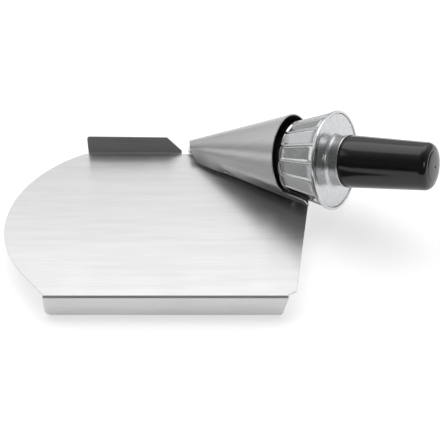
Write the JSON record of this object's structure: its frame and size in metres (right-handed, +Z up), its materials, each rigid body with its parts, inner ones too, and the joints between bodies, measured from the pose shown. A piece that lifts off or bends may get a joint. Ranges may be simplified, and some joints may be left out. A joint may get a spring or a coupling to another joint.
{
  "type": "waffle cone rolling stand",
  "caption": "Stainless bench stand with a cone-shaped forming sleeve, and a ribbed aluminium cone roller on a black grip, for rolling hot waffles into cones.",
  "frame": {"origin": "on the table, at the middle of the rest tab's flat foot, under the bed beside the sleeve's mouth", "axes": "+X along the front lip towards the grip's end, +Y from the front lip to the rear fence, +Z up"},
  "size_m": [0.3785, 0.2227, 0.0949],
  "materials": {
    "brushed_stainless": "brushed along the front lip",
    "cast_aluminium": "die cast and polished",
    "zinc_steel": "zinc plated",
    "brass": "turned",
    "black_plastic": "moulded, semi-gloss"
  },
  "bodies": {
    "stand": {"forming_bed": "brushed_stainless", "cone_sleeve": "brushed_stainless", "rest_tab": "brushed_stainless"},
    "roller_core": {"grip_stud": "zinc_steel", "stud_washer": "zinc_steel", "stud_nut": "zinc_steel"},
    "roller": {"roller_cone": "cast_aluminium", "roller_end_cap": "cast_aluminium", "grip_insert": "brass", "handle_grip": "black_plastic"}
  },
  "joints": [
    {"name": "roller_withdraw", "type": "slide", "parent": "stand", "child": "roller_core", "axis": [0.8298, -0.477, 0.2897], "range_m": [0, 0.16]},
    {"name": "roller_spin", "type": "hinge", "parent": "roller_core", "child": "roller", "pos_m": [0.0419, -0.00394, 0.05117], "axis": [0.8298, -0.477, 0.2897], "continuous": true}
  ]
}
